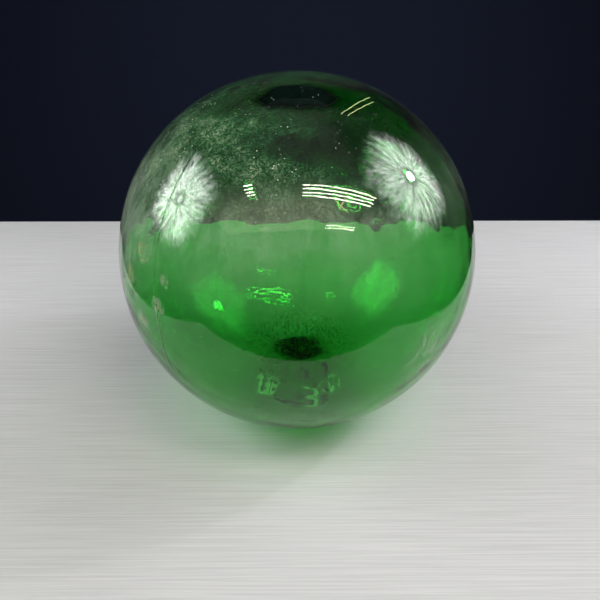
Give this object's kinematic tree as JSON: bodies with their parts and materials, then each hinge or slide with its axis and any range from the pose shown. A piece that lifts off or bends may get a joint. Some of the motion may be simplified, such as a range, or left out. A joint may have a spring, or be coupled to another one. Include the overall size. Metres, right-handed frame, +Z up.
{
  "type": "glass float ball",
  "caption": "Large hand-blown glass fishing float: a sealed green ball with a low seal button on its leaning blow axis and a small worn flat to stand on.",
  "frame": {"origin": "middle of the small worn flat under the ball", "axes": "+Z up; -Y to the front, where the seal leans; +X to the right seen from the front"},
  "size_m": [0.302, 0.3022, 0.3],
  "materials": {
    "green_bottle_glass": "gloss, with dust and fine scratches"
  },
  "bodies": {
    "root": {"glass_float": "green_bottle_glass"}
  },
  "joints": []
}
